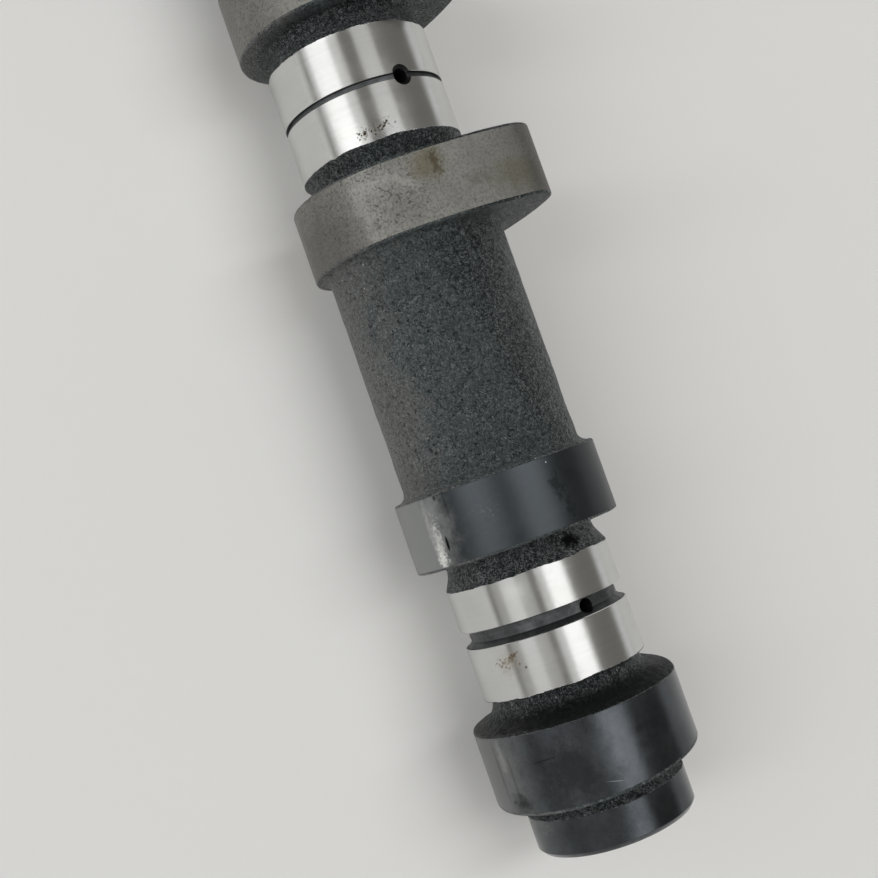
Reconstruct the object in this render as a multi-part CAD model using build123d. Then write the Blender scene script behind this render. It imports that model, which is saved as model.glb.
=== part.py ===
from build123d import *
from math import atan2, degrees, radians, sqrt, tan
import os

# Exhaust camshaft of a four-cylinder engine with two exhaust valves to a cylinder.
# It is one iron casting with ground journals and ground lobes, drilled along its axis for oil.
# The shaft lies along X: the drive end points to -X and the plugged rear end to +X.
# The origin is the middle of the front journal, on the axis.
# Lengths are millimetres. Angles are degrees about X, from +Y towards +Z.

# Layout along the shaft
cylinder_pitch = 97.0
valve_spacing = 42.0                        # middle to middle of the two lobes of a cylinder
lobe_phases = [135.0, 225.0, 45.0, -45.0]   # nose directions, firing order 1-3-4-2

# Cam profile: base circle, two flank arcs and a nose arc, all tangent
base_radius = 18.75
lift = 8.65
nose_radius = 6.5
flank_radius = 50.0
lobe_width = 13.0
lobe_edge = 0.4                             # broken edge round both faces of a lobe

# Bearing journals of the cylinders
journal_radius = 15.0
journal_length = 20.0
thin_groove_width = 1.0
thin_groove_depth = 0.6
feed_groove_width = 3.0                     # only the rearmost journal has this wide groove
feed_groove_depth = 1.4
feed_groove_offset = -1.0                   # from the journal's middle, towards the drive end
feed_groove_bevel = 0.9                     # slope at the foot of its rear wall

# As-cast stretches
barrel_radius = 16.4
barrel_fillet = 1.8
neck_radius = 13.6
neck_flare_length = 3.0                     # slope out to the edge of the ground journal

# Front journal and thrust flange
front_journal_length = 24.0
flange_radius = 21.0
flange_width = 5.0
flange_chamfer = 0.6
front_neck_length = 5.5

# Drive nose with the tapped holes of its sprocket and its grinding centre
nose_end_radius = 14.0
nose_end_length = 12.0
nose_end_chamfer = 1.0
bolt_count = 3
bolt_circle_radius = 8.5
bolt_tap_radius = 2.5                       # tapping size of an M6 thread
bolt_hole_depth = 14.0
centre_mouth_radius = 3.0
centre_angle = 60.0

# Rear boss
rear_neck_length = 4.0
boss_radius = 14.5
boss_length = 7.0
boss_chamfer = 1.0

# Oil gallery, its cross holes and its plug
gallery_radius = 4.0
gallery_runout = 4.0                        # past the first cross hole
drill_tip_angle = 118.0
oil_hole_radius = 1.3
oil_hole_mouth_radius = 1.9                 # countersink where the hole meets a thin groove
oil_hole_angle = 80.0
plug_radius = 5.0
plug_length = 5.0
plug_recess = 1.2
plug_wall = 1.0
plug_chamfer = 0.4

# Places worked out from the sizes above
front_journal_rear = front_journal_length / 2
flange_rear = front_journal_rear + flange_width
first_cylinder = flange_rear + front_neck_length + (lobe_width + valve_spacing) / 2
cylinders = [first_cylinder + i * cylinder_pitch for i in range(len(lobe_phases))]
pair_half = (valve_spacing + lobe_width) / 2        # journal middle to the pair's outer face
gap_half = (valve_spacing - lobe_width) / 2         # journal middle to the pair's inner face
nose_end = -front_journal_length / 2 - nose_end_length
boss_front = cylinders[-1] + pair_half + rear_neck_length
rear_end = boss_front + boss_length
plug_seat = rear_end - plug_recess - plug_length


def revolved(edges):
    """Turn a closed outline, drawn as (station, radius), about the shaft's axis."""
    return revolve(Plane.XZ * make_face(edges), Axis.X)


def turned(*corners):
    """A round solid whose outline runs straight from corner to corner, each (station, radius)."""
    ends = [(station, 0) for station, radius in (corners[-1], corners[0]) if radius > 0]
    return revolved(Polyline(*corners, *ends, close=True).edges())


def waist(start, end, radius, fillet):
    """A cast length between two faces. The fillet up each face is drawn as two slopes."""
    knee = fillet * (1 - sqrt(0.5))
    return turned((start, radius + fillet), (start + knee, radius + knee), (start + fillet, radius),
                  (end - fillet, radius), (end - knee, radius + knee), (end, radius + fillet))


def neck(face, edge, edge_radius):
    """A cast neck from a lobe's face, which slopes out to a machined edge."""
    flare = neck_flare_length if edge > face else -neck_flare_length
    return turned((face, neck_radius), (edge - flare, neck_radius), (edge, edge_radius))


def thin_groove(middle):
    """The ring that a parting tool takes out of a journal."""
    start = middle - thin_groove_width / 2
    end = middle + thin_groove_width / 2
    return tube(start, end, journal_radius - thin_groove_depth)


def feed_groove(middle):
    """The wide ring of the rearmost journal, with a slope at the foot of its rear wall."""
    start = middle - feed_groove_width / 2
    end = middle + feed_groove_width / 2
    floor = journal_radius - feed_groove_depth
    slope = turned((end - feed_groove_bevel, floor), (end, floor + feed_groove_bevel))
    return tube(start, end, floor) - slope


def tube(start, end, inner_radius):
    """A ring from an inner radius to just outside the journals."""
    outer = turned((start, journal_radius + 1), (end, journal_radius + 1))
    return outer - turned((start, inner_radius), (end, inner_radius))


def journal(middle, rearmost):
    """A ground bearing journal with its necks out to the pair's lobes, and its oil groove."""
    start = middle - journal_length / 2
    end = middle + journal_length / 2
    bay = turned((start, journal_radius), (end, journal_radius))
    bay += neck(middle - gap_half, start, journal_radius)
    bay += neck(middle + gap_half, end, journal_radius)
    if rearmost:
        return bay - feed_groove(middle + feed_groove_offset)
    return bay - thin_groove(middle)


def cam_outline():
    """The cam profile with its nose along the sketch's x: flanks touch base circle and nose."""
    nose_centre = base_radius + lift - nose_radius
    to_axis = flank_radius - base_radius
    to_nose = flank_radius - nose_radius
    across = (to_axis ** 2 - to_nose ** 2 + nose_centre ** 2) / (2 * nose_centre)
    down = sqrt(to_axis ** 2 - across ** 2)
    nose_half = degrees(atan2(down, nose_centre - across))
    event_half = degrees(atan2(down, -across))
    flank_turn = event_half - nose_half
    return make_face([
        CenterArc((nose_centre, 0), nose_radius, -nose_half, 2 * nose_half),
        CenterArc((across, -down), flank_radius, nose_half, flank_turn),
        CenterArc((0, 0), base_radius, event_half, 360 - 2 * event_half),
        CenterArc((across, down), flank_radius, -event_half, flank_turn),
    ])


def lobe(middle, phase):
    """One ground lobe with broken edges, its nose turned to its phase."""
    blank = extrude(Plane.YZ * cam_outline(), lobe_width)
    rims = blank.edges() - blank.edges().filter_by(Axis.X)
    return Pos(middle - lobe_width / 2, 0, 0) * Rot(phase, 0, 0) * chamfer(rims, lobe_edge)


def lobe_pair(middle, phase):
    """The two lobes of a cylinder, one each side of its journal."""
    offset = valve_spacing / 2
    return [lobe(middle + side * offset, phase) for side in (-1, 1)]


def gallery():
    """The long drilling from the rear end to just past the first cross hole, and the plug's seat."""
    front = cylinders[0] - gallery_runout
    tip = gallery_radius / tan(radians(drill_tip_angle / 2))
    drilling = turned((front - tip, 0), (front, gallery_radius), (rear_end, gallery_radius))
    return drilling + turned((plug_seat, plug_radius), (rear_end, plug_radius))


def nose_holes():
    """The tapped holes round the nose's end face and the grinding centre in its middle."""
    depth = centre_mouth_radius / tan(radians(centre_angle / 2))
    hole = extrude(Plane.YZ * Circle(bolt_tap_radius), bolt_hole_depth)
    turn = 360 / bolt_count
    holes = [Pos(nose_end, 0, 0) * Rot(i * turn, 0, 0) * Pos(0, 0, bolt_circle_radius) * hole
             for i in range(bolt_count)]
    return holes + [turned((nose_end, centre_mouth_radius), (nose_end + depth, 0))]


def cross_hole(middle, rearmost):
    """A hole from the gallery out through a journal's groove, at the oil holes' angle."""
    hole = extrude(Circle(oil_hole_radius), journal_radius + 1)
    if not rearmost:
        depth = oil_hole_mouth_radius - oil_hole_radius
        mouth = Cone(oil_hole_radius, oil_hole_mouth_radius + depth, 2 * depth)
        hole += Pos(0, 0, journal_radius - thin_groove_depth) * mouth
    return Pos(middle, 0, 0) * Rot(oil_hole_angle - 90, 0, 0) * hole


def front_end():
    """Drive nose, front journal, thrust flange and front neck."""
    shoulder = -front_journal_length / 2
    nose = turned((nose_end, nose_end_radius - nose_end_chamfer),
                  (nose_end + nose_end_chamfer, nose_end_radius), (shoulder, nose_end_radius))
    flange = turned((front_journal_rear, flange_radius - flange_chamfer),
                    (front_journal_rear + flange_chamfer, flange_radius),
                    (flange_rear - flange_chamfer, flange_radius),
                    (flange_rear, flange_radius - flange_chamfer))
    bearing = turned((shoulder, journal_radius), (front_journal_rear, journal_radius))
    front_neck = turned((flange_rear, neck_radius), (flange_rear + front_neck_length, neck_radius))
    return [nose, bearing, flange, front_neck]


def rear_boss():
    """The neck behind the last lobe and the round boss that ends the shaft."""
    boss = turned((boss_front, boss_radius), (rear_end - boss_chamfer, boss_radius),
                  (rear_end, boss_radius - boss_chamfer))
    return [neck(boss_front - rear_neck_length, boss_front, boss_radius), boss]


def camshaft():
    """The finished shaft: the casting as machined outside, then all its drillings."""
    last = len(cylinders) - 1
    solid = front_end()
    cuts = [gallery()] + nose_holes()
    for i, middle in enumerate(cylinders):
        solid += [journal(middle, i == last)] + lobe_pair(middle, lobe_phases[i])
        cuts += [cross_hole(middle + (feed_groove_offset if i == last else 0), i == last)]
        if i < last:
            solid += [waist(middle + pair_half, cylinders[i + 1] - pair_half, barrel_radius,
                            barrel_fillet)]
    solid += rear_boss()
    return solid[0] + solid[1:] - cuts


def gallery_plug():
    """A pressed steel cup plug that closes the gallery, its open side facing out."""
    rear = plug_seat + plug_length
    cup = turned((plug_seat, plug_radius - plug_chamfer), (plug_seat + plug_chamfer, plug_radius),
                 (rear, plug_radius))
    hollow_radius = plug_radius - plug_wall
    return cup - turned((plug_seat + plug_wall, hollow_radius), (rear, hollow_radius))


os.makedirs("parts", exist_ok=True)
for name, make in (("camshaft", camshaft), ("gallery_plug", gallery_plug)):
    solid = make()
    export_step(solid, f"parts/{name}.step")
    box = solid.bounding_box()
    print(name, "volume", round(solid.volume), "mm3, from", box.min, "to", box.max)
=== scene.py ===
import bpy
import numpy as np
from math import atan2, cos, pi, radians, sin, sqrt, tan
from mathutils import Matrix, Vector


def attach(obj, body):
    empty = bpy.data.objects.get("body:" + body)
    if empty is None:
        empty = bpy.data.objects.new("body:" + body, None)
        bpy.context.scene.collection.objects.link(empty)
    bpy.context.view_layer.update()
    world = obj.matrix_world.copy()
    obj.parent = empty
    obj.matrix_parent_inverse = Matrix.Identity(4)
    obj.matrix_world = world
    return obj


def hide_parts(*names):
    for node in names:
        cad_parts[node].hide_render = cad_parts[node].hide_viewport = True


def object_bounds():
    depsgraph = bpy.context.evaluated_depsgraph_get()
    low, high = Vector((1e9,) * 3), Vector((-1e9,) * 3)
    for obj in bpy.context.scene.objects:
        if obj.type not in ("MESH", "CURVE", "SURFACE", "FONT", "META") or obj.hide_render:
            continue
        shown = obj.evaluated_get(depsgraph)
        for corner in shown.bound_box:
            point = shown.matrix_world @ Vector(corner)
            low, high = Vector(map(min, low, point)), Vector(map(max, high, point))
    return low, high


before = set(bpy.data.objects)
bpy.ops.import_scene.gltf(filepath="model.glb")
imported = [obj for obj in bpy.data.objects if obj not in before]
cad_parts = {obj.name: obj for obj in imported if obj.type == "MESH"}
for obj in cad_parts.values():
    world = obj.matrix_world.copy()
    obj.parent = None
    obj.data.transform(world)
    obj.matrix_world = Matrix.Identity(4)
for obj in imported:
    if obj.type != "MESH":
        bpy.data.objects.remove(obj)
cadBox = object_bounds()
bpy.context.scene.view_settings.view_transform = "Standard"
mm = 0.001
print("frame loaded, nodes:", sorted(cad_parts))


# Shader nodes, made shorter to write

def put(tree, kind, inputs=None, **settings):
    node = tree.nodes.new(kind)
    for name, value in settings.items():
        setattr(node, name, value)
    for key, value in (inputs or {}).items():
        if isinstance(value, bpy.types.NodeSocket):
            tree.links.new(value, node.inputs[key])
        else:
            node.inputs[key].default_value = value
    return node


def maths(tree, operation, first, second=0.0):
    return put(tree, "ShaderNodeMath", {0: first, 1: second}, operation=operation).outputs[0]


def times(tree, first, second):
    return maths(tree, "MULTIPLY", first, second)


def fade(tree, value, low, high, start=0.0, end=1.0):  # start below low, end above high, smooth between
    inputs = {0: value, 1: low, 2: high, 3: start, 4: end}
    return put(tree, "ShaderNodeMapRange", inputs, interpolation_type="SMOOTHSTEP").outputs[0]


def blendColour(tree, factor, first, second):
    return put(tree, "ShaderNodeMix", {0: factor, 6: first, 7: second}, data_type="RGBA").outputs[2]


def blendValue(tree, factor, first, second):
    return put(tree, "ShaderNodeMix", {0: factor, 2: first, 3: second}, data_type="FLOAT").outputs[0]


def noise(tree, place, scale, detail=3.0, roughness=0.55, distortion=0.0):
    inputs = {"Vector": place, "Scale": scale, "Detail": detail, "Roughness": roughness,
              "Distortion": distortion}
    return put(tree, "ShaderNodeTexNoise", inputs).outputs[0]


def millimetres(tree):  # object coordinates in mm
    coords = put(tree, "ShaderNodeTexCoord").outputs["Object"]
    return put(tree, "ShaderNodeVectorMath", {0: coords, 3: 1 / mm}, operation="SCALE").outputs[0]


def newGroup(name, inputs, outputs):
    tree = bpy.data.node_groups.new(name, "ShaderNodeTree")
    for label, kind in inputs.items():
        tree.interface.new_socket(label, in_out="INPUT", socket_type="NodeSocket" + kind)
    for label, kind in outputs.items():
        tree.interface.new_socket(label, in_out="OUTPUT", socket_type="NodeSocket" + kind)
    return tree, tree.nodes.new("NodeGroupInput").outputs, tree.nodes.new("NodeGroupOutput").inputs


def useGroup(tree, group, inputs=None):
    return put(tree, "ShaderNodeGroup", inputs, node_tree=group).outputs


def newObject(name, data):
    made = bpy.data.objects.new(name, data)
    bpy.context.scene.collection.objects.link(made)
    return made


# Finishes that several surfaces share

# the cast skin's colours include painted light on one side, painted shade on the other side and in the
# necks, and painted glints
castLook = {
    "dark": (0.008, 0.01, 0.011, 1), "low": (0.026, 0.032, 0.034, 1), "middle": (0.08, 0.1, 0.102, 1),
    "paintedLight": (0.155, 0.15, 0.149, 1), "light": (0.33, 0.355, 0.355, 1), "paintedGlint": (0.75, 0.76, 0.75, 1),
    "lumpScale": 0.45, "grainScale": 1.6, "driftScale": 0.08, "ridgeScale": 1.28, "paintedGlintScale": 3.04,
    "ridgeWidth": (0.055, 0.012), "ridgeGrain": (0.38, 0.55), "ridgeShare": (0.85, 1.0),
    "paintedGlintLevel": (0.7, 0.76), "darkGrain": (0.28, 0.5), "wander": 22.0, "paintedLightSide": (-10.5, -15.0),
    "paintedLightShare": 0.8, "paintedShadeSide": (-5.0, 5.0), "paintedShadeShare": 0.68, "neckRadius": (15.9, 14.9),
    "neckShadeShare": 0.85, "roughness": (0.56, 0.3), "grainHeight": 1.2, "ridgeHeight": 0.12}


def makeCastSkin(look):
    # sand-cast iron: lumps, grains and ridges make the height; thin winding ridges are pale, the lowest
    # grains dark and pale specks are painted glints; the necks get painted shade and clearer ridges;
    # one side gets painted light and the other painted shade
    outputs = {"Color": "Color", "Roughness": "Float", "Height": "Float"}
    tree, _, result = newGroup("castSkin", {}, outputs)
    place = millimetres(tree)
    lump = noise(tree, place, look["lumpScale"], 4, 0.6)
    grain = noise(tree, place, look["grainScale"], 3, 0.7, 1.0)
    drift = noise(tree, place, look["driftScale"], 3, 0.6)
    winding = maths(tree, "SUBTRACT", noise(tree, place, look["ridgeScale"], 2, 0.7, 1.6), 0.5)
    ridges = times(tree, fade(tree, maths(tree, "ABSOLUTE", winding), *look["ridgeWidth"]),
                   fade(tree, grain, *look["ridgeGrain"]))
    # painted glints: pale specks where a fine noise is highest
    paintedGlints = fade(tree, noise(tree, place, look["paintedGlintScale"], 2, 0.6, 0.8), *look["paintedGlintLevel"])
    parts = put(tree, "ShaderNodeSeparateXYZ", {0: place}).outputs
    shift = times(tree, maths(tree, "SUBTRACT", drift, 0.5), look["wander"])
    side = maths(tree, "ADD", parts[1], shift)
    radius = maths(tree, "SQRT", maths(tree, "ADD", times(tree, parts[1], parts[1]),
                                       times(tree, parts[2], parts[2])))
    neck = fade(tree, radius, *look["neckRadius"])
    # painted light on one side and painted shade on the other, set by distance across the shaft, with a
    # wandering border
    paintedLight = times(tree, fade(tree, side, *look["paintedLightSide"]), look["paintedLightShare"])
    paintedShade = times(tree, fade(tree, side, *look["paintedShadeSide"]), look["paintedShadeShare"])
    sand = blendColour(tree, paintedShade, blendColour(tree, paintedLight, look["middle"], look["paintedLight"]), look["dark"])
    # painted shade in the necks, stronger where the radius is smaller
    sand = blendColour(tree, times(tree, neck, look["neckShadeShare"]), sand, look["low"])
    sand = blendColour(tree, fade(tree, grain, *look["darkGrain"]), look["dark"], sand)
    shown = times(tree, ridges, blendValue(tree, neck, *look["ridgeShare"]))
    sand = blendColour(tree, shown, sand, look["light"])
    relief = maths(tree, "ADD", times(tree, grain, look["grainHeight"]),
                   times(tree, ridges, look["ridgeHeight"]))
    tree.links.new(blendColour(tree, paintedGlints, sand, look["paintedGlint"]), result["Color"])
    tree.links.new(blendValue(tree, grain, *look["roughness"]), result["Roughness"])
    tree.links.new(maths(tree, "ADD", lump, relief), result["Height"])
    return tree


def makeGrinding():
    # grinding marks: noise that changes fast along the shaft and slowly round it, so in rings
    roundScale, wideScale, fineShare = 0.012, 0.12, 0.35
    tree, given, result = newGroup("grinding", {"Density": "Float"}, {"Height": "Float", "Tone": "Float"})
    squeezed = put(tree, "ShaderNodeVectorMath", {0: millimetres(tree), 1: (1.0, roundScale, roundScale)},
                   operation="MULTIPLY").outputs[0]
    fine = noise(tree, squeezed, given["Density"], 3, 0.7)
    wide = noise(tree, squeezed, times(tree, given["Density"], wideScale), 2, 0.6)
    tree.links.new(fine, result["Height"])
    tree.links.new(blendValue(tree, fineShare, wide, fine), result["Tone"])
    return tree


def makeRaggedEdge():
    # 1 where the distance inside the ground surface, less the amount and shifted by noise, is above zero
    scale, swing, softness = 1.7, 4.0, 0.04
    inputs = {"Distance": "Float", "Amount": "Float"}
    tree, given, result = newGroup("raggedEdge", inputs, {"Mask": "Float"})
    coarse = maths(tree, "SUBTRACT", noise(tree, millimetres(tree), scale, 4, 0.75), 0.5)
    shift = times(tree, times(tree, coarse, given["Amount"]), swing)
    inside = maths(tree, "SUBTRACT", maths(tree, "ADD", given["Distance"], shift), given["Amount"])
    tree.links.new(fade(tree, inside, -softness, softness), result["Mask"])
    return tree


def makeSpot():
    # one mark on the surface: an ellipsoid round a place, its border broken up by noise; sparse leaves dots
    tree, given, result = newGroup("spot", {
        "Location": "Vector", "Rotation": "Vector", "Size": "Vector", "Ragged": "Float", "Grain": "Float",
        "Soft": "Float", "Sparse": "Float"}, {"Mask": "Float"})
    place = millimetres(tree)
    local = put(tree, "ShaderNodeMapping", {"Vector": place, "Location": given["Location"],
                                            "Rotation": given["Rotation"], "Scale": given["Size"]},
                vector_type="TEXTURE").outputs[0]
    reach = put(tree, "ShaderNodeVectorMath", {0: local}, operation="LENGTH").outputs["Value"]
    broken = maths(tree, "SUBTRACT", noise(tree, place, given["Grain"], 4, 0.7), 0.5)
    border = maths(tree, "ADD", reach, times(tree, broken, given["Ragged"]))
    border = maths(tree, "ADD", border, given["Sparse"])
    inner, outer = maths(tree, "SUBTRACT", 1.0, given["Soft"]), maths(tree, "ADD", 1.0, given["Soft"])
    tree.links.new(fade(tree, border, inner, outer, 1.0, 0.0), result["Mask"])
    return tree


def makePitting():
    # soft dark pits: the high tail of a fine noise, thicker where the area mask is high
    gain, level = 0.085, (0.6, 0.74)
    tree, given, result = newGroup("pitting", {"Scale": "Float", "Area": "Float"}, {"Mask": "Float"})
    fine = noise(tree, millimetres(tree), given["Scale"], 3, 0.6, 0.2)
    raised = maths(tree, "ADD", fine, times(tree, given["Area"], gain))
    tree.links.new(fade(tree, raised, *level), result["Mask"])
    return tree


castSkin = makeCastSkin(castLook)
grinding = makeGrinding()
raggedEdge = makeRaggedEdge()
spot = makeSpot()
pitting = makePitting()
print("shared finishes made")


def newMaterial(name):
    material = bpy.data.materials.new(name)
    material.use_nodes = True
    tree = material.node_tree
    tree.nodes.clear()
    return material, tree


def lastNodes(tree, inputs):
    shader = put(tree, "ShaderNodeBsdfPrincipled", inputs)
    put(tree, "ShaderNodeOutputMaterial", {0: shader.outputs[0]})


def finishMaterial(tree, colour, metallic, roughness, height, depth):
    bump = put(tree, "ShaderNodeBump", {"Height": height, "Distance": depth * mm}).outputs[0]
    lastNodes(tree, {"Base Color": colour, "Metallic": metallic, "Roughness": roughness, "Normal": bump})


def mark(station, angle, along, around, colour=(0, 0, 0), **rest):
    # where a mark lies, mm along the shaft and degrees round it, its half sizes both ways and its colour
    return {"station": station, "angle": angle, "along": along, "round": around, "colour": (*colour, 1),
            **rest}


def markMask(tree, each, surfaceRadius):
    depth = each["round"] + 4  # reaches through a curved surface
    angle, radius = radians(each["angle"]), each.get("radius", surfaceRadius)
    mask = useGroup(tree, spot, {
        "Location": (each["station"], radius * cos(angle), radius * sin(angle)),
        "Rotation": (angle - pi / 2, 0, radians(each.get("turn", 0))),
        "Size": (each["along"], each["round"], depth), "Ragged": each.get("ragged", 1.0),
        "Grain": each.get("grain", 1.0), "Soft": each.get("soft", 0.3),
        "Sparse": each.get("sparse", 0.0)})["Mask"]
    return times(tree, mask, each.get("strength", 1.0))


def layMarks(tree, colour, roughness, look):
    for each in look["marks"]:
        mask = markMask(tree, each, look["radius"])
        colour = blendColour(tree, mask, colour, each["colour"])
        roughness = blendValue(tree, mask, roughness, each.get("roughness", 0.6))
    return colour, roughness


castIron = {"metallic": 0.75, "depth": 0.6, "radius": 14, "marks": [
    mark(328.9, 76, 1.1, 1.9, (0.003, 0.003, 0.003), radius=13.8, ragged=4.0, grain=0.8, soft=0.5,
         roughness=0.9),
    mark(330.4, 78, 0.7, 1.6, (0.7, 0.71, 0.72), ragged=8.0, grain=2.4, sparse=1.2, strength=0.9,
         roughness=0.4),
    # painted shade: a near-black band on the flare in the crease before the last lobe
    mark(355.1, 106, 1.9, 24.0, (0.003, 0.004, 0.004), radius=16, ragged=1.2, grain=0.7, soft=0.7,
         strength=0.93, roughness=0.75)]}


def makeCastIron(look):
    material, tree = newMaterial("castIron")
    skin = useGroup(tree, castSkin)
    colour, roughness = layMarks(tree, skin["Color"], skin["Roughness"], look)
    finishMaterial(tree, colour, look["metallic"], roughness, skin["Height"], look["depth"])
    return material


groundJournal = {
    "colour": (0.615, 0.622, 0.615, 1), "dull": (0.47, 0.46, 0.435, 1), "density": 14.0, "depth": 0.0016,
    "ringTone": (0.4, 0.7), "ringShare": 0.16, "smearScale": 0.22, "smearLevel": (0.4, 0.75),
    "smearShare": 0.2, "roughness": (0.17, 0.22), "metallic": 1.0, "level": 1.1, "ragged": 0.1,
    "radius": 15, "marks": [
    mark(252.2, 118.5, 0.9, 1.3, (0.05, 0.037, 0.02), ragged=9.0, grain=2.0, sparse=0.7),
    mark(251.9, 107, 0.9, 1.9, (0.05, 0.038, 0.02), ragged=9.0, grain=2.2, sparse=0.6, turn=14),
    mark(344.0, 141.6, 0.42, 0.95, (0.045, 0.024, 0.012), ragged=3.2, grain=1.6, soft=0.35, turn=42),
    mark(345.3, 138.1, 0.22, 0.22, (0.07, 0.045, 0.03), ragged=0.8, grain=2.0, soft=0.4, strength=0.9),
    mark(346.1, 134.6, 0.25, 0.25, (0.07, 0.05, 0.04), ragged=0.8, grain=2.0, soft=0.4, strength=0.9),
    mark(344.8, 149, 0.9, 1.4, (0.12, 0.09, 0.06), ragged=8.0, grain=1.7, sparse=0.6, soft=0.5,
         strength=0.85),
    mark(344.6, 144, 2.0, 2.2, (0.42, 0.36, 0.28), ragged=1.2, grain=0.6, soft=0.7, strength=0.4,
         roughness=0.25)]}


def finishGround(tree, look, colour, roughness, texture, level):
    # the ground face inside its ragged edge, found by each point's distance from it, and cast skin outside
    distance = put(tree, "ShaderNodeAttribute", attribute_name="groundDistance").outputs["Fac"]
    inside = useGroup(tree, raggedEdge, {"Distance": distance, "Amount": look["ragged"]})["Mask"]
    skin = useGroup(tree, castSkin)
    colour = blendColour(tree, inside, skin["Color"], colour)
    roughness = blendValue(tree, inside, skin["Roughness"], roughness)
    metallic = blendValue(tree, inside, castIron["metallic"], look["metallic"])
    height = blendValue(tree, inside, skin["Height"], maths(tree, "ADD", texture, level))
    finishMaterial(tree, colour, metallic, roughness, height, castIron["depth"])


def makeGroundJournal(look):
    # ground steel with fine rings, dull smears and marks
    material, tree = newMaterial("groundJournal")
    rings = useGroup(tree, grinding, {"Density": look["density"]})
    ringTone = times(tree, fade(tree, rings["Tone"], *look["ringTone"]), look["ringShare"])
    tone = blendColour(tree, ringTone, look["colour"], look["dull"])
    smear = fade(tree, noise(tree, millimetres(tree), look["smearScale"], 4, 0.6), *look["smearLevel"])
    tone = blendColour(tree, times(tree, smear, look["smearShare"]), tone, look["dull"])
    tone, rough = layMarks(tree, tone, blendValue(tree, smear, *look["roughness"]), look)
    ringHeight = times(tree, rings["Height"], look["depth"] / castIron["depth"])
    finishGround(tree, look, tone, rough, ringHeight, look["level"])
    return material


greyLobe = {
    "name": "groundLobe", "colour": (0.255, 0.254, 0.236, 1), "dull": (0.115, 0.114, 0.105, 1),
    "pit": (0.046, 0.044, 0.038, 1), "pitScale": 2.0, "pitShare": 0.8, "pitSpread": 0.4, "pitDepth": 0.024,
    "cloud": 0.45, "mottle": 0.8, "roughness": (0.52, 0.46), "metallic": 0.8, "ragged": 0.05,
    "radius": 18.75, "marks": [
    # painted shade on the lobe's right side
    mark(266.0, 52, 12.0, 13.0, (0.135, 0.134, 0.123), radius=22, ragged=0.6, grain=0.2, soft=0.6,
         strength=0.5),
    # painted shade on the lobe's left side
    mark(268.5, 158, 6.5, 10.0, (0.11, 0.105, 0.1), ragged=1.8, grain=0.35, soft=0.6, strength=0.5),
    mark(261.4, 92, 2.8, 2.6, (0.13, 0.115, 0.065), radius=19.2, ragged=1.8, grain=0.6, soft=0.6,
         strength=0.6),
    mark(261.6, 88.2, 2.3, 0.9, (0.06, 0.046, 0.024), radius=19.3, ragged=5.0, grain=1.2, sparse=0.2,
         soft=0.6, strength=0.7),
    mark(267.0, 56, 2.8, 3.4, (0.115, 0.105, 0.062), radius=23, ragged=2.4, grain=0.5, soft=0.5,
         strength=0.5),
    mark(266.2, 72, 1.0, 1.8, (0.085, 0.08, 0.065), radius=20.5, ragged=5.0, grain=0.9, soft=0.7,
         strength=0.4),
    mark(261.6, 117, 0.9, 3.4, (0.4, 0.39, 0.37), ragged=3.4, grain=0.55, soft=0.9, strength=0.26, turn=8),
    mark(263.0, 106.5, 0.6, 2.2, (0.42, 0.41, 0.38), ragged=3.0, grain=0.6, soft=0.9, strength=0.36,
         turn=-38),
    mark(264.8, 131, 3.6, 1.1, (0.38, 0.37, 0.35), ragged=3.4, grain=0.55, soft=0.9, strength=0.3, turn=4)],
    "pitted": [mark(264.5, 122, 7.0, 9.0, ragged=1.8, grain=0.3, soft=0.7)]}

bluedLobe = {
    "name": "bluedLobe", "colour": (0.052, 0.059, 0.064, 1), "dull": (0.037, 0.042, 0.046, 1),
    "cloud": 0.6, "mottle": 0.25, "roughness": (0.4, 0.34), "metallic": 0.95, "ragged": 0.05,
    "radius": 18.75, "marks": [
    # painted reflection and rubbed wear: a pale patch over the lobe's left side
    mark(320.0, 173, 12.0, 8.2, (0.31, 0.32, 0.32), ragged=0.9, grain=0.35, soft=0.42, strength=0.85,
         roughness=0.36),
    mark(315.8, 152, 2.8, 1.5, (0.3, 0.31, 0.31), ragged=3.6, grain=0.8, soft=0.9, strength=0.45, turn=-4),
    mark(319.0, 157.8, 3.8, 0.45, (0.5, 0.5, 0.49), ragged=3.4, grain=1.2, soft=0.8, strength=0.5, turn=-9),
    mark(322.6, 154.6, 3.2, 0.75, (0.74, 0.74, 0.73), ragged=4.8, grain=1.5, soft=0.8, strength=0.75,
         roughness=0.4, turn=-9),
    mark(324.6, 155.5, 1.6, 1.0, (0.85, 0.85, 0.84), ragged=5.0, grain=1.8, sparse=0.3, soft=0.6,
         strength=0.85, roughness=0.4, turn=-9),
    mark(322.3, 148.9, 1.25, 0.26, (0.006, 0.007, 0.008), ragged=0.7, grain=0.9, soft=0.4, turn=-5),
    mark(314.4, 147.6, 0.4, 0.3, (0.02, 0.024, 0.025), ragged=1.4, grain=1.4, soft=0.6, strength=0.8),
    mark(316.0, 142.2, 2.6, 0.22, (0.03, 0.034, 0.037), ragged=0.8, grain=0.6, soft=0.8, strength=0.6),
    mark(319.5, 122, 4.5, 7.5, (0.22, 0.23, 0.235), ragged=8.0, grain=2.4, sparse=1.7, soft=0.4,
         strength=0.22),
    mark(319.6, 83, 2.0, 0.9, (0.015, 0.018, 0.019), ragged=5.5, grain=1.1, soft=0.7, strength=0.6),
    mark(323.4, 79, 1.9, 0.8, (0.015, 0.018, 0.019), ragged=5.5, grain=1.1, soft=0.7, strength=0.6),
    mark(314.9, 84.4, 0.11, 0.11, (0.7, 0.7, 0.7), ragged=0.2, soft=0.4, strength=0.8, roughness=0.4)]}

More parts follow.
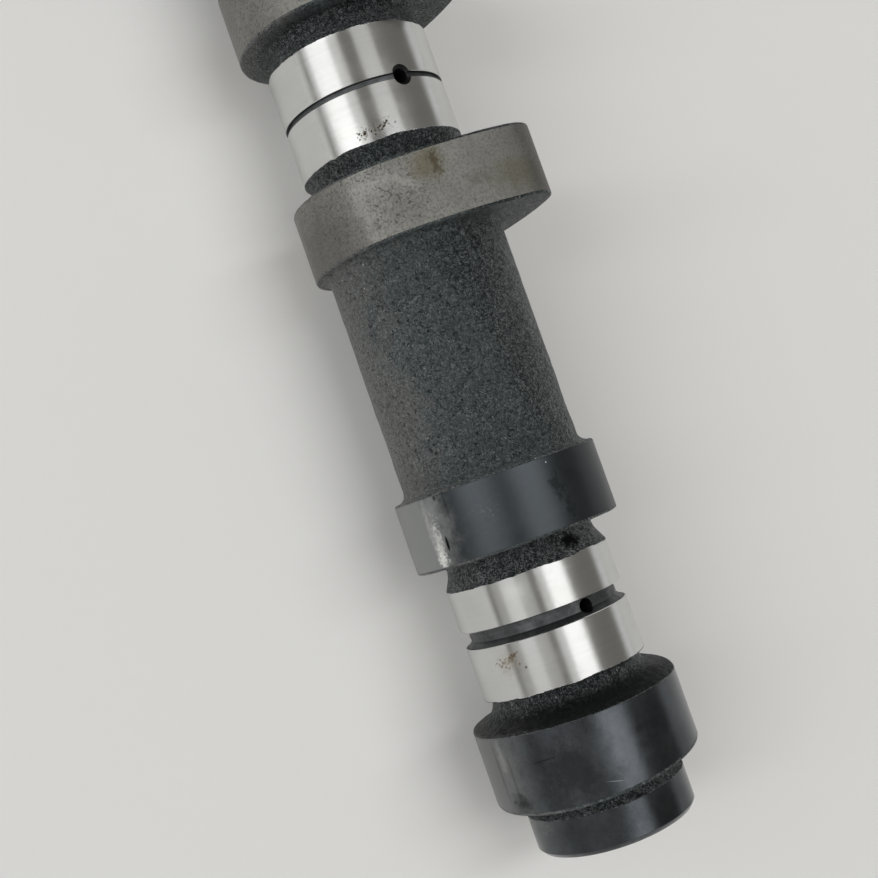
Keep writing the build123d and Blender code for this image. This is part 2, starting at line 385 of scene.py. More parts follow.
bluedEnd = {
    "name": "bluedEnd", "colour": (0.092, 0.102, 0.112, 1), "dull": (0.04, 0.044, 0.048, 1),
    "cloud": 0.6, "mottle": 0.35, "roughness": (0.25, 0.19), "metallic": 0.95, "ragged": 0.13,
    "radius": 18.75, "marks": [
    # painted reflection and rubbed wear: a pale patch over the lobe's left side
    mark(362.0, 174, 12.0, 6.6, (0.19, 0.195, 0.195), ragged=1.2, grain=0.4, soft=0.6, strength=0.8,
         roughness=0.36),
    mark(359.6, 164.5, 2.4, 0.7, (0.34, 0.34, 0.34), ragged=3.6, grain=1.2, soft=0.8, strength=0.6,
         turn=-4),
    mark(362.5, 169.5, 4.5, 0.3, (0.08, 0.08, 0.08), ragged=1.6, grain=0.6, soft=0.9, strength=0.45,
         turn=-3),
    mark(363.5, 160, 4.0, 0.25, (0.07, 0.07, 0.07), ragged=1.6, grain=0.6, soft=0.9, strength=0.45,
         turn=-3),
    mark(367.6, 160.0, 1.2, 1.7, (0.012, 0.012, 0.012), ragged=3.0, grain=0.9, soft=1.0, strength=0.75),
    mark(363.6, 125, 6.0, 5.6, (0.018, 0.017, 0.019), ragged=2.2, grain=0.4, soft=0.7, strength=0.75),
    mark(376.0, 128, 4.4, 5.2, (0.022, 0.023, 0.025), radius=14.5, ragged=1.8, grain=0.4, soft=0.8,
         strength=0.6),
    # painted highlight: a pale blue-grey patch where the lobe's highlight band lies
    mark(362.4, 100, 5.0, 3.2, (0.135, 0.148, 0.16), ragged=2.0, grain=0.6, soft=0.8, strength=0.4,
         roughness=0.27),
    mark(361.0, 138, 0.09, 2.4, (0.008, 0.008, 0.009), ragged=0.6, grain=0.8, soft=0.5, strength=0.7,
         turn=6),
    mark(367.5, 106, 0.07, 1.3, (0.34, 0.35, 0.36), ragged=0.6, grain=0.8, soft=0.5, strength=0.5,
         turn=-16)]}


lobeGrain = {"density": 3.0, "ringHeight": 0.012, "level": 1.0, "cloudScale": 0.19,
             "cloudLevel": (0.3, 0.72), "mottleScale": 2.3, "mottleLevel": (0.42, 0.64), "areaScale": 0.1,
             "areaLevel": (0.42, 0.62)}


def pitMask(tree, look):
    # pits in soft areas all over, and in the patches that the look names
    place, grain = millimetres(tree), lobeGrain
    area = fade(tree, noise(tree, place, grain["areaScale"], 3, 0.6), *grain["areaLevel"])
    area = times(tree, area, look["pitSpread"])
    for patch in look["pitted"]:
        area = maths(tree, "MAXIMUM", area, markMask(tree, patch, look["radius"]))
    return useGroup(tree, pitting, {"Scale": look["pitScale"], "Area": area})["Mask"]


def makeLobe(look):
    # satin ground or phosphated face with rings, clouds, mottle, marks, and pits where the look has them
    grain = lobeGrain
    material, tree = newMaterial(look["name"])
    rings = useGroup(tree, grinding, {"Density": grain["density"]})
    place = millimetres(tree)
    cloud = fade(tree, noise(tree, place, grain["cloudScale"], 5, 0.65), *grain["cloudLevel"])
    mottle = fade(tree, noise(tree, place, grain["mottleScale"], 3, 0.8, 0.4), *grain["mottleLevel"])
    tone = blendColour(tree, times(tree, cloud, look["cloud"]), look["colour"], look["dull"])
    tone = blendColour(tree, times(tree, mottle, look["mottle"]), tone, look["dull"])
    texture = times(tree, rings["Height"], grain["ringHeight"])
    if "pitted" in look:
        pits = pitMask(tree, look)
        tone = blendColour(tree, times(tree, pits, look["pitShare"]), tone, look["pit"])
        texture = maths(tree, "SUBTRACT", texture, times(tree, pits, look["pitDepth"]))
    tone, rough = layMarks(tree, tone, blendValue(tree, cloud, *look["roughness"]), look)
    finishGround(tree, look, tone, rough, texture, grain["level"])
    return material


turnedIron = {"name": "turnedIron", "colour": (0.3, 0.3, 0.295, 1), "dull": (0.16, 0.16, 0.158, 1),
              "roughness": (0.34, 0.46)}
groovedIron = {"name": "groovedIron", "colour": (0.105, 0.112, 0.115, 1), "dull": (0.05, 0.053, 0.055, 1),
               "roughness": (0.4, 0.52)}
drilledIron = {"name": "drilledIron", "colour": (0.05, 0.05, 0.05, 1), "dull": (0.02, 0.02, 0.02, 1),
               "roughness": (0.5, 0.62)}
toolMarks = {"ringScale": 4.0, "ringLevel": (0.4, 0.65), "ringShare": 0.4, "blotScale": 0.35,
             "blotLevel": (0.35, 0.7), "metallic": 0.9, "depth": 0.012}


def makeTurned(look):
    # tool marks run round the axis on cylinders and on end faces: rings by station and by radius
    marks = toolMarks
    material, tree = newMaterial(look["name"])
    place = millimetres(tree)
    parts = put(tree, "ShaderNodeSeparateXYZ", {0: place}).outputs
    flat = put(tree, "ShaderNodeCombineXYZ", {0: 0.0, 1: parts[1], 2: parts[2]}).outputs[0]
    radius = put(tree, "ShaderNodeVectorMath", {0: flat}, operation="LENGTH").outputs["Value"]
    ringPlace = put(tree, "ShaderNodeCombineXYZ", {0: parts[0], 1: radius, 2: 0.0}).outputs[0]
    rings = noise(tree, ringPlace, marks["ringScale"], 3, 0.7)
    blot = fade(tree, noise(tree, place, marks["blotScale"], 4, 0.6), *marks["blotLevel"])
    ringTone = times(tree, fade(tree, rings, *marks["ringLevel"]), marks["ringShare"])
    colour = blendColour(tree, blot, look["colour"], look["dull"])
    colour = blendColour(tree, ringTone, colour, look["dull"])
    roughness = blendValue(tree, blot, *look["roughness"])
    finishMaterial(tree, colour, marks["metallic"], roughness, rings, marks["depth"])
    return material


finishes = {
    "cast": makeCastIron(castIron), "journal": makeGroundJournal(groundJournal), "grey": makeLobe(greyLobe),
    "blued": makeLobe(bluedLobe), "end": makeLobe(bluedEnd), "turned": makeTurned(turnedIron),
    "groove": makeTurned(groovedIron), "bore": makeTurned(drilledIron)}
finishOrder = list(finishes)
print("materials made:", ", ".join(finishOrder))


# Surfaces worked out on a grid of points

def lattice(i, j, k, seed):  # repeatable value from -1 to 1 at each whole place
    mixed = ((i * 73856093) ^ (j * 19349663) ^ (k * 83492791) ^ (seed * 2654435)) & 0xffffffff
    mixed = ((mixed ^ (mixed >> 15)) * 739391) & 0xffffffff
    mixed = ((mixed ^ (mixed >> 13)) * 1274127) & 0xffffffff
    return (mixed >> 8 & 0xffff) / 32767.5 - 1


def lumps(points, size, seed):
    # smooth lattice noise: the eight corner values round each point, blended by eased distances
    cell = np.floor(points / size).astype(np.int64)
    part = points / size - cell
    ease = part * part * (3 - 2 * part)
    total = 0
    for corner in range(8):
        step = np.array([corner & 1, corner >> 1 & 1, corner >> 2 & 1])
        weight = np.prod(np.where(step == 1, ease, 1 - ease), axis=-1)
        i, j, k = np.moveaxis(cell + step, -1, 0)
        total = total + weight * lattice(i, j, k, seed)
    return total


def layered(points, layers, seed):  # lumps of several sizes, given as (size in mm, height)
    return sum(height * lumps(points, size, seed + n) for n, (size, height) in enumerate(layers))


def aroundAxis(stations, radii, angle):  # points that far along X and out, turned by the angle
    return np.stack([stations, radii * np.cos(angle), radii * np.sin(angle)], axis=-1)


def gridMesh(name, stations, radii, materials, attributes=None, faceFinish=None):
    # point (i, j) is stations[i, j] along X and radii[i, j] out, turned by angle j; a pole closes each end
    rowCount, columnCount = radii.shape
    angle = np.linspace(0, 2 * pi, columnCount, endpoint=False)
    grid = aroundAxis(stations, radii, angle).reshape(-1, 3)
    poles = np.array([[stations[0].mean(), 0, 0], [stations[-1].mean(), 0, 0]])
    points = np.concatenate([grid, poles]) * mm
    index = np.arange(rowCount * columnCount).reshape(rowCount, columnCount)
    turned = np.roll(index, -1, axis=1)
    quads = np.stack([turned[:-1], turned[1:], index[1:], index[:-1]], axis=-1).reshape(-1, 4)
    first, last = (np.full(columnCount, len(grid) + n) for n in (0, 1))
    fans = np.concatenate([np.stack([first, turned[0], index[0]], axis=-1),
                           np.stack([last, index[-1], turned[-1]], axis=-1)])
    mesh = bpy.data.meshes.new(name)
    mesh.vertices.add(len(points))
    mesh.vertices.foreach_set("co", points.ravel())
    corners = np.concatenate([quads.ravel(), fans.ravel()])
    mesh.loops.add(len(corners))
    mesh.loops.foreach_set("vertex_index", corners)
    starts = np.concatenate([np.arange(len(quads)) * 4, len(quads) * 4 + np.arange(len(fans)) * 3])
    mesh.polygons.add(len(starts))
    mesh.polygons.foreach_set("loop_start", starts)
    if faceFinish is not None:
        perQuad = np.repeat(faceFinish, columnCount)
        ends = np.repeat([faceFinish[0], faceFinish[-1]], columnCount)
        mesh.polygons.foreach_set("material_index", np.concatenate([perQuad, ends]))
    mesh.update(calc_edges=True)
    mesh.validate()
    for label, values in (attributes or {}).items():
        perPoint = np.concatenate([values.ravel(), [values[0].mean(), values[-1].mean()]])
        layer = mesh.attributes.new(label, "FLOAT", "CORNER")
        layer.data.foreach_set("value", perPoint[corners])
    for material in materials:
        mesh.materials.append(material)
    return newObject(name, mesh)


def shadeByAngle(piece, angle):
    piece.data.polygons.foreach_set("use_smooth", np.ones(len(piece.data.polygons), bool))
    piece.data.set_sharp_from_angle(angle=radians(angle))


shaftShape = {  # millimetres, degrees
    "columns": 240, "castDepth": 0.11, "castLayers": [(6.5, 1.0), (2.6, 0.55), (1.2, 0.35)],
    "raggedEdge": 0.24, "edgeLayers": [(2.4, 0.6), (0.9, 0.4)], "axis": 0.03, "deep": 3.0, "guard": 0.1,
    "noseEnd": -24.0, "noseRadius": 14.0, "noseChamfer": 1.0, "centreDepth": 5.12, "centreRadius": 3.0,
    "centreEdge": 0.2, "shoulder": 12.0, "cornerFillet": 0.3, "journalRadius": 15.0, "softEdge": 0.3,
    "reliefWidth": 0.6, "reliefDepth": 0.25, "reliefSlope": 0.2, "flangeRadius": 21.0, "flangeRear": 17.0,
    "flangeChamfer": 0.6,
    "cylinders": [50.0, 147.0, 244.0, 341.0], "phases": [135.0, 225.0, 45.0, -45.0],
    "lobeInner": 14.5, "lobeOuter": 27.5, "baseRadius": 18.74, "lift": 8.64, "tipRadius": 6.5,
    "flankRadius": 50.0, "lobeEdge": 0.4, "lobeRow": 1.2, "pastRim": 0.6, "pastFace": 2.0, "rawEdge": 0.55,
    "rawFillet": 4.4, "rawSlant": 1.3, "rawShift": 0.25, "rawToward": 130.0, "journalHalf": 10.0,
    "journalRow": 1.5,
    "neckRadius": 13.6, "neckFillet": 1.0, "neckFlare": 3.5, "barrelRadius": 16.4, "barrelFillet": 1.8,
    "bossFront": 372.5, "bossRear": 379.5, "bossRadius": 14.5, "bossChamfer": 1.0, "bossFlare": 0.7,
    "bossInside": 2.0, "seatRadius": 5.0, "seatFront": 373.3, "seatChamfer": 0.3, "galleryRadius": 4.0,
    "galleryFront": 46.0, "galleryTip": 43.62}
thinGroove = {"middle": 0.0, "half": 0.5, "depth": 0.6, "lip": 0.06, "draft": 0.05}
feedGroove = {"middle": -1.0, "half": 1.5, "depth": 1.4, "lip": 0.12, "corner": 0.15, "bevel": 0.9}

columnAngle = np.linspace(0, 2 * pi, shaftShape["columns"], endpoint=False)
course = []  # the way points of the shaft's outline, front to rear


def go(station, radius, steps=1, finish="cast", inside=-shaftShape["deep"], rough=0.0):
    # one way point, with the rows up to it, how far inside the ground surface it is and its share of lumps
    level = np.zeros(len(columnAngle))
    course.append((station + level, radius + level, inside + level, rough + level, steps,
                   finishOrder.index(finish)))


def goAll(points, *rest):  # several way points alike, one row each
    for station, radius in points:
        go(station, radius, 1, *rest)


def goRound(station, radius, toStation, toRadius, hollow, steps, **rest):
    # quarter of an ellipse between two way points, bulging out or hollowed in
    for turn in np.linspace(0, pi / 2, steps + 1)[1:]:
        across, up = (1 - cos(turn), sin(turn)) if hollow else (sin(turn), 1 - cos(turn))
        go(station + (toStation - station) * across, radius + (toRadius - radius) * up, **rest)


def camRadius(phase):
    # distance to the cam's outline in each direction: base circle, flank arc or nose arc
    shape = shaftShape
    base, tip, flank = shape["baseRadius"], shape["tipRadius"], shape["flankRadius"]
    tipMiddle = base + shape["lift"] - tip
    across = ((flank - base) ** 2 - (flank - tip) ** 2 + tipMiddle ** 2) / (2 * tipMiddle)
    down = sqrt((flank - base) ** 2 - across ** 2)
    tipHalf = atan2(down, tipMiddle - across)
    tipEnd = atan2(tip * sin(tipHalf), tipMiddle + tip * cos(tipHalf))
    flankEnd = atan2(down, -across)
    turn = np.abs((columnAngle - radians(phase) + pi) % (2 * pi) - pi)
    onTip = tipMiddle * np.cos(turn) + np.sqrt(np.maximum(tip ** 2 - (tipMiddle * np.sin(turn)) ** 2, 0))
    lean = across * np.cos(turn) - down * np.sin(turn)
    onFlank = lean + np.sqrt(flank ** 2 - across ** 2 - down ** 2 + lean ** 2)
    return np.where(turn < tipEnd, onTip, np.where(turn < flankEnd, onFlank, base))


def goLobe(front, rear, phase, footRear, finish, frontEdge, rearEdge):
    # up the cast front face, round its edge, along the ground rim, and down the cast rear face
    rim, guard, row = camRadius(phase), shaftShape["guard"], shaftShape["lobeRow"]
    past = shaftShape["pastRim"]  # so much distance is counted over an edge, which makes it look cast
    go(front, rim - frontEdge, 3, inside=-shaftShape["pastFace"], rough=0.6)
    for turn in (pi / 4, pi / 2):
        go(front + frontEdge * (1 - cos(turn)), rim - frontEdge * (1 - sin(turn)),
           inside=(turn / (pi / 2) - 1) * past)
    for inward in (guard, row):
        go(front + frontEdge + inward, rim, 1, finish, inward)
    for inward in (row, guard, 0.0):
        go(rear - rearEdge - inward, rim, 1, finish, inward)
    go(rear - rearEdge * 0.3, rim - rearEdge * 0.3, 1, finish, -past / 2)
    go(rear, rim - rearEdge, 1, finish, -past, 0.3)
    go(rear, footRear, 3, rough=1.0)


flareParts, flareBend = (0.3, 0.6, 0.85), 1.7  # places along a neck's flare, and how it curves


def goNeckOut(face, edge, edgeRadius, flare, finish):
    # from a lobe's rear face along the neck and up its flare to a machined edge
    shape = shaftShape
    foot, fillet = shape["neckRadius"], shape["neckFillet"]
    goRound(face, foot + fillet, face + fillet, foot, True, 3, rough=1.0)
    for part in flareParts:
        go(edge - flare * (1 - part), foot + (edgeRadius - foot) * part ** flareBend, rough=1.0,
           inside=-flare * (1 - part))
    go(edge, edgeRadius, inside=0.0, rough=0.15)
    go(edge + shape["guard"], edgeRadius, 1, finish, shape["guard"])


def goNeckIn(edge, face, edgeRadius, fillet):
    # from a machined edge down its flare and along the neck to the next lobe's front face
    foot = shaftShape["neckRadius"]
    flare = max(face - fillet - edge.mean(), 0.5)
    for part in reversed(flareParts):
        go(edge + flare * (1 - part), foot + (edgeRadius - foot) * part ** flareBend, finish="journal",
           rough=1.0, inside=-flare * (1 - part))
    go(face - fillet, foot, rough=1.0)
    goRound(face - fillet, foot, face, foot + fillet, False, 3 + round(fillet), rough=1.0)


def raggedStation(station, seed):  # a machined edge that wanders where it meets cast skin
    points = aroundAxis(columnAngle * 0 + station, shaftShape["journalRadius"], columnAngle)
    return station + shaftShape["raggedEdge"] * layered(points, shaftShape["edgeLayers"], seed)


def goGroove(middle, last):
    # over a journal's broken edge, down one wall, along the floor, up the other wall and out again
    look = feedGroove if last else thinGroove
    radius, lip, deep = shaftShape["journalRadius"], look["lip"], shaftShape["deep"]
    start, end = middle + look["middle"] - look["half"], middle + look["middle"] + look["half"]
    floor = radius - look["depth"]
    if last:
        bottom = [(start, floor + look["corner"]), (start + look["corner"], floor),
                  (end - look["bevel"], floor), (end, floor + look["bevel"])]
    else:
        bottom = [(start + look["draft"], floor), (end - look["draft"], floor)]
    goAll([(start - lip, radius), (start, radius - lip)], "journal", deep)
    goAll(bottom + [(end, radius - lip)], "groove", deep)
    go(end + lip, radius, 1, "journal", deep)


def goJournal(middle, last):
    shape = shaftShape
    radius, half, row = shape["journalRadius"], shape["journalHalf"], shape["journalRow"]
    front, rear = raggedStation(middle - half, 11), raggedStation(middle + half, 13)
    goNeckOut(middle - shape["lobeInner"], front, radius, shape["neckFlare"], "journal")
    go(middle - half + row, radius, 1, "journal", row)
    goGroove(middle, last)
    go(middle + half - row, radius, 1, "journal", row)
    go(rear - shape["guard"], radius, 1, "journal", shape["guard"])
    go(rear, radius, 1, "journal", 0.0)
    goNeckIn(rear, middle + shape["lobeInner"], radius, shape["rawFillet"] if last else shape["neckFillet"])


def goNose():
    # out of the grinding centre, over the nose, the front journal and the flange, and up to the first lobe
    shape = shaftShape
    nose, radius, chamfer = shape["noseEnd"], shape["noseRadius"], shape["noseChamfer"]
    centre, edge, soft = shape["centreRadius"], shape["journalRadius"], shape["softEdge"]
    shoulder, corner, relief = shape["shoulder"], shape["cornerFillet"], edge - shape["reliefDepth"]
    reliefStart, deep = shoulder - shape["reliefWidth"], shape["deep"]
    rear, flange, bevel = shape["flangeRear"], shape["flangeRadius"], shape["flangeChamfer"]
    foot, fillet = shape["neckRadius"], shape["neckFillet"]
    go(nose + shape["centreDepth"], shape["axis"], 1, "bore")
    goAll([(nose + shape["centreEdge"], centre - 0.1), (nose, centre + 0.15)], "turned")
    go(nose, radius - chamfer, 7, "turned")
    goAll([(nose + chamfer, radius), (-shoulder - corner, radius), (-shoulder, radius + corner),
           (-shoulder, edge - soft)], "turned")
    go(-shoulder + soft, edge, 1, "turned", deep)
    go(reliefStart - shape["reliefSlope"], edge, 1, "journal", deep)
    goAll([(reliefStart, relief), (shoulder, relief)], "turned", deep)
    goAll([(shoulder, flange - bevel), (shoulder + bevel, flange), (rear - bevel, flange),
           (rear, flange - bevel), (rear, foot + fillet)], "turned")
    goRound(rear, foot + fillet, rear + fillet, foot, True, 3, rough=0.8)
    face = shape["cylinders"][0] - shape["lobeOuter"]
    go(face - fillet, foot, 3, rough=1.0)
    goRound(face - fillet, foot, face, foot + fillet, False, 3, rough=1.0)


def goBarrel(start, end, rows):
    fillet, radius = shaftShape["barrelFillet"], shaftShape["barrelRadius"]
    goRound(start, radius + fillet, start + fillet, radius, True, 5, rough=1.0)
    go(end - fillet, radius, rows, rough=1.0)
    goRound(end - fillet, radius, end, radius + fillet, False, 5, rough=1.0)


def goBoss(face):
    # from the last lobe's rear face over the boss, and down into the plug's seat and the gallery
    shape = shaftShape
    front, rear, boss, chamfer = (shape["boss" + part] for part in ("Front", "Rear", "Radius", "Chamfer"))
    seat, seatEdge, bore = shape["seatRadius"], shape["seatChamfer"], shape["galleryRadius"]
    deep = shape["bossInside"]
    goNeckOut(face, raggedStation(front, 17), boss, shape["bossFlare"], "end")
    go(front + shape["lobeRow"], boss, 2, "end", shape["lobeRow"])
    goAll([(rear - chamfer, boss), (rear - 0.25, boss - chamfer * 0.6)], "end", deep)
    goAll([(rear, boss - chamfer - 0.2), (rear, seat + seatEdge), (rear - seatEdge, seat)], "turned", deep)
    goAll([(shape["seatFront"], seat), (shape["seatFront"], bore)], "bore")
    go(shape["galleryFront"], bore, 4, "bore")
    go(shape["galleryTip"], shape["axis"], 2, "bore")


def drawCourse():
    shape = shaftShape
    inner, outer, edge = shape["lobeInner"], shape["lobeOuter"], shape["lobeEdge"]
    neckFoot = shape["neckRadius"] + shape["neckFillet"]
    barrelFoot = shape["barrelRadius"] + shape["barrelFillet"]
    middles = shape["cylinders"]
    goNose()
    for i, (middle, phase) in enumerate(zip(middles, shape["phases"])):
        last = i == len(middles) - 1
        finish = "blued" if last else "grey"
        goLobe(middle - outer, middle - inner, phase, neckFoot, finish, edge, edge)
        goJournal(middle, last)
        if not last:
            goLobe(middle + inner, middle + outer, phase, barrelFoot, finish, edge, edge)
            seen = i == len(middles) - 2  # the barrel that the photograph shows gets more rows
            goBarrel(middle + outer, middles[i + 1] - outer, 52 if seen else 18)
    # the last lobe's rear face was left as cast, a little out of square
    slant = shape["rawShift"] + shape["rawSlant"] * np.cos(columnAngle - radians(shape["rawToward"]))
    rearFace = middle + outer + np.maximum(slant, 0)
    goLobe(middle + inner, rearFace, phase, neckFoot, "end", shape["rawEdge"], edge)
    goBoss(rearFace)


def makeShaft():
    # lay rows between the way points, then push them out along the outline's normal by the cast lumps
    drawCourse()
    layers = [[] for _ in range(4)]
    rowFinish = []
    for before, after in zip(course, course[1:]):
        steps = after[4]
        part = (np.arange(steps) / steps)[:, None]
        for layer, first, second in zip(layers, before, after[:4]):
            layer.append(first + (second - first) * part)
        rowFinish += [after[5]] * steps
    stations, radii, inside, rough = (np.concatenate(layer + [end[None]])
                                      for layer, end in zip(layers, course[-1]))
    points = aroundAxis(stations, radii, columnAngle)
    alongX, alongR = np.gradient(stations, axis=0), np.gradient(radii, axis=0)
    length = np.maximum(np.hypot(alongX, alongR), 1e-6)
    push = shaftShape["castDepth"] * rough * layered(points, shaftShape["castLayers"], 1)
    stations, radii = stations - push * alongR / length, radii + push * alongX / length
    print("shaft rows", len(radii), "triangles about", 2 * radii.size)
    return gridMesh("shaftCasting", stations, radii, [finishes[name] for name in finishOrder],
                    {"groundDistance": inside}, np.array(rowFinish))


drillings = {"sides": 40, "oilAngle": 80.0, "oilRadius": 1.3, "oilMouth": 1.9, "oilTop": 17.0,
             "oilFoot": 2.0, "tapRadius": 3.0, "tapDepth": 14.0, "tapTip": 1.5, "tapCircle": 8.5,
             "tapMouth": 3.4, "tapAngles": [90.0, 210.0, 330.0]}


def makeCutter(profile, place):
    # a drill's outline, given as (height, radius) pairs, turned about its own axis and put in place
    heights, radii = np.array(profile).T
    ring = np.ones(drillings["sides"])
    piece = gridMesh("cutter", np.outer(heights, ring), np.outer(radii, ring), [finishes["bore"]])
    piece.data.transform(place)
    return piece


def tapPlace(angle):  # where a tapped hole opens on the nose
    circle = drillings["tapCircle"]
    return Vector((shaftShape["noseEnd"], circle * cos(radians(angle)), circle * sin(radians(angle)))) * mm


def makeOilCutter(middle, last):
    holes = drillings
    wall, top, widen = holes["oilRadius"], holes["oilTop"], 2 * (holes["oilMouth"] - holes["oilRadius"])
    floor = shaftShape["journalRadius"] - thinGroove["depth"]
    profile = [(holes["oilFoot"], wall), (floor, wall)]
    profile += [(top, wall)] if last else [(floor + widen, wall + widen), (top, wall + widen)]
    station = middle + (feedGroove if last else thinGroove)["middle"]
    turn = Matrix.Rotation(radians(holes["oilAngle"]), 4, "X") @ Matrix.Rotation(radians(90), 4, "Z")
    return makeCutter(profile, Matrix.Translation((station * mm, 0, 0)) @ turn)


def makeTapCutter(angle):
    holes = drillings
    wall, mouth, depth = holes["tapRadius"], holes["tapMouth"], holes["tapDepth"]
    profile = [(-1, mouth), (0, mouth), (mouth - wall, wall), (depth, wall), (depth + holes["tapTip"], 0.2)]
    halfStep = Matrix.Rotation(pi / holes["sides"], 4, "X")  # keeps its corners off the nose face's edges
    return makeCutter(profile, Matrix.Translation(tapPlace(angle)) @ halfStep)


def cutHoles(shaft):
    middles = shaftShape["cylinders"]
    cutters = [makeOilCutter(middle, middle == middles[-1]) for middle in middles]
    cutters += [makeTapCutter(angle) for angle in drillings["tapAngles"]]
    for cutter in cutters:
        cut = shaft.modifiers.new("drill", "BOOLEAN")
        cut.operation, cut.solver, cut.object = "DIFFERENCE", "EXACT", cutter
        cut.material_mode = "TRANSFER"
    bpy.context.view_layer.update()
    evaluated = shaft.evaluated_get(bpy.context.evaluated_depsgraph_get())
    drilled = bpy.data.meshes.new_from_object(evaluated)
    shaft.modifiers.clear()
    plain = shaft.data
    shaft.data = drilled
    bpy.data.meshes.remove(plain)
    for cutter in cutters:
        bpy.data.meshes.remove(cutter.data)


shaft = makeShaft()
cutHoles(shaft)
shadeByAngle(shaft, 32)
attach(shaft, "root")
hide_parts("camshaft")
print("camshaft made, faces", len(shaft.data.polygons))


threadShape = {"pitch": 1.0, "root": 3.03, "crest": 2.52, "rootHalf": 0.46, "crestHalf": 0.08,
               "length": 13.0, "start": 1.0, "segments": 40, "runIn": pi / 2, "least": 0.04}


def makeThread(name, angle):
    # a ridge that winds round a tapped hole: a section carried along a helix, thinned out at both ends
    shape = threadShape
    root, crest = shape["root"], shape["crest"]
    turns = shape["length"] / shape["pitch"]
    turn = np.linspace(0, 2 * pi * turns, int(turns * shape["segments"]) + 1)
    fromEnd = np.minimum(1, np.minimum(turn, turn[-1] - turn) / shape["runIn"])
    width = np.array([-shape["rootHalf"], -shape["crestHalf"], shape["crestHalf"], shape["rootHalf"]])
    depth = np.array([0, root - crest, root - crest, 0])
    radii = root - depth[:, None] * (fromEnd * (1 - shape["least"]) + shape["least"])
    stations = shape["start"] + turn / (2 * pi) * shape["pitch"] + width[:, None] * shape["pitch"]
    points = aroundAxis(stations, radii, turn) * mm + np.array(tapPlace(angle))
    index = np.arange(radii.size).reshape(radii.shape)
    loop = np.roll(index, -1, axis=0)
    quads = np.stack([index[:, :-1], loop[:, :-1], loop[:, 1:], index[:, 1:]], axis=-1).reshape(-1, 4)
    caps = [index[::-1, 0].tolist(), index[:, -1].tolist()]
    mesh = bpy.data.meshes.new(name)
    mesh.from_pydata(points.reshape(-1, 3).tolist(), [], quads.tolist() + caps)
    mesh.materials.append(finishes["turned"])
    piece = newObject(name, mesh)
    shadeByAngle(piece, 40)
    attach(piece, "root")
    return piece


threads = [makeThread(f"screwThread{n + 1}", angle) for n, angle in enumerate(drillings["tapAngles"])]
print("screw threads made:", len(threads))


plugLook = {"name": "plugSteel", "colour": (0.44, 0.43, 0.41, 1), "dull": (0.27, 0.26, 0.245, 1),
            "roughness": (0.3, 0.42)}
plugShape = {"sides": 96, "front": 373.32, "rear": 378.3, "radius": 4.99, "wall": 1.0, "corner": 0.6,
             "inner": 0.5, "outerLip": 0.15, "innerLip": 0.25, "axis": 0.02}


def makePlug():
    # a pressed cup: up the front face, round its corner, back along the wall, over the lip and inside
    shape = plugShape
    front, rear, radius, corner = shape["front"], shape["rear"], shape["radius"], shape["corner"]
    inside, floor, inner = radius - shape["wall"], front + shape["wall"], shape["inner"]
    outerLip, innerLip, axis = shape["outerLip"], shape["innerLip"], shape["axis"]
    turn = np.linspace(0, pi / 2, 6)
    profile = [(front, axis), (front, radius * 0.5)]
    profile += list(zip(front + corner * (1 - np.cos(turn)), radius - corner * (1 - np.sin(turn))))
    profile += [(rear - outerLip, radius), (rear, radius - outerLip), (rear, inside + innerLip),
                (rear - innerLip, inside)]
    profile += list(zip(floor + inner * (1 - np.sin(turn)), inside - inner * (1 - np.cos(turn))))
    profile += [(floor, inside * 0.5), (floor, axis)]
    stations, radii = np.array(profile, float).T
    ring = np.ones(shape["sides"])
    piece = gridMesh("galleryPlug", np.outer(stations, ring), np.outer(radii, ring), [makeTurned(plugLook)])
    shadeByAngle(piece, 40)
    return piece


plug = makePlug()
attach(plug, "root")
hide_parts("gallery_plug")
print("gallery plug made")


# Camera, floor and light

cameraPlace = {"station": 304.63, "round": 20.68, "lean": 2.62, "roll": 19.41, "reach": 222.86,
               "aside": 7.13, "lens": 50.84, "sensor": 36.0}  # millimetres, degrees


def cameraAxes():  # along the shaft, across the picture and out towards the camera
    around = radians(cameraPlace["round"])
    return Vector((1, 0, 0)), Vector((0, cos(around), sin(around))), Vector((0, -sin(around), cos(around)))


def standAt(piece, place, axes):
    piece.matrix_world = Matrix.Translation(place) @ Matrix(axes).transposed().to_4x4()


def makeCamera():
    look = cameraPlace
    along, aside, out = cameraAxes()
    lean, roll = radians(look["lean"]), radians(look["roll"])
    back = sin(lean) * along + cos(lean) * out
    down = cos(lean) * along - sin(lean) * out
    right = cos(roll) * aside + sin(roll) * down
    up = sin(roll) * aside - cos(roll) * down
    place = (look["station"] * along - look["aside"] * aside + look["reach"] * back) * mm
    data = bpy.data.cameras.new("camera")
    data.lens, data.sensor_width, data.sensor_fit = look["lens"], look["sensor"], "AUTO"
    data.clip_start, data.clip_end = 0.01, 50
    camera = newObject("camera", data)
    standAt(camera, place, (right, up, back))
    bpy.context.scene.camera = camera


makeCamera()

floorLook = {"colour": (0.87, 0.87, 0.86, 1), "shade": (0.82, 0.82, 0.81, 1), "share": 0.2, "half": 1.2,
             "scale": 0.004, "level": (0.2, 0.8), "roughness": 0.9, "sheen": 0.1}


def makeFloor():
    look = floorLook
    half, low = look["half"], cadBox[0][2]  # the shaft lies on it
    corners = [(-half, -half, low), (half, -half, low), (half, half, low), (-half, half, low)]
    mesh = bpy.data.meshes.new("floor")
    mesh.from_pydata(corners, [], [(0, 1, 2, 3)])
    material, tree = newMaterial("paleFloor")
    shade = fade(tree, noise(tree, millimetres(tree), look["scale"], 2, 0.5), *look["level"])
    colour = blendColour(tree, times(tree, shade, look["share"]), look["colour"], look["shade"])
    lastNodes(tree, {"Base Color": colour, "Roughness": look["roughness"],
                     "Specular IOR Level": look["sheen"]})
    mesh.materials.append(material)
    newObject("floor", mesh)


makeFloor()

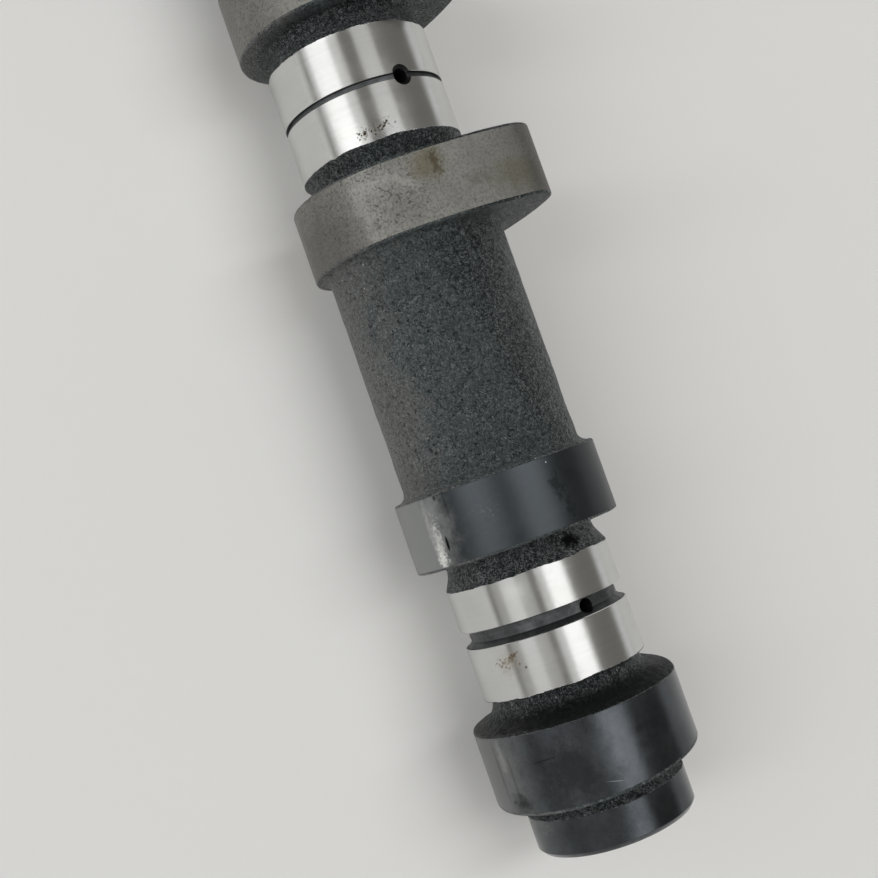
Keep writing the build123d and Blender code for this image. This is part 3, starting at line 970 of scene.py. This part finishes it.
# softboxes in groups, with station and length in mm; each has its angle in degrees from the camera's side,
# positive to the picture's left, its spread in degrees and its radiance
softboxes = [
    {"station": -950, "length": 1800, "lamps": {
        "leftCore": (36, 32, 0.7), "leftHalo": (32, 54, 0.55), "frontFill": (-28, 26, 0.42)}},
    {"station": 1300, "length": 1800, "lamps": {
        "rightCore": (-30, 27, 0.8), "rightHalo": (-26.5, 43, 0.56), "rearFill": (31.5, 54, 0.26),
        "rearCore": (34, 22, 0.3)}},
    {"station": -30, "length": 500, "lamps": {"topLeft": (27, 36, 6.0), "topRight": (-34, 40, 6.0)}}]
lampDistance = 3.0  # metres from the shaft's axis


def makeSoftbox(group, name, angle, spread, radiance):
    along, aside, out = cameraAxes()
    away = cos(radians(angle)) * out - sin(radians(angle)) * aside
    data = bpy.data.lights.new(name, "AREA")
    data.shape, data.size = "RECTANGLE", group["length"] * mm
    data.size_y = 2 * lampDistance * tan(radians(spread / 2))
    data.energy = radiance * pi * data.size * data.size_y
    lamp = newObject(name, data)
    foot = Vector((group["station"] * mm, 0, 0))
    standAt(lamp, foot + away * lampDistance, (along, away.cross(along), away))
    lamp.visible_camera = False


for group in softboxes:
    for name, (angle, spread, radiance) in group["lamps"].items():
        makeSoftbox(group, name, angle, spread, radiance)


worldLook = {"low": (0.72, 0.72, 0.71, 1), "high": (0.185, 0.178, 0.163, 1), "rise": (0.10, 0.30),
             "leftRise": (0.04, 0.10), "left": (0.80, 0.93)}


def makeWorld():
    # pale near the horizon like the floor and dim overhead, and at the left dim from lower down
    world = bpy.data.worlds.new("studio")
    world.use_nodes = True
    tree = world.node_tree
    tree.nodes.clear()
    direction = put(tree, "ShaderNodeTexCoord").outputs["Generated"]
    parts = put(tree, "ShaderNodeSeparateXYZ", {0: direction}).outputs
    left = fade(tree, times(tree, parts[1], -1.0), *worldLook["left"])
    rise, leftRise = (fade(tree, parts[2], *worldLook[name]) for name in ("rise", "leftRise"))
    height = blendValue(tree, left, rise, leftRise)
    colour = blendColour(tree, height, worldLook["low"], worldLook["high"])
    shader = put(tree, "ShaderNodeBackground", {"Color": colour})
    put(tree, "ShaderNodeOutputWorld", {0: shader.outputs[0]})
    bpy.context.scene.world = world


makeWorld()
print("camera, floor and lights placed")
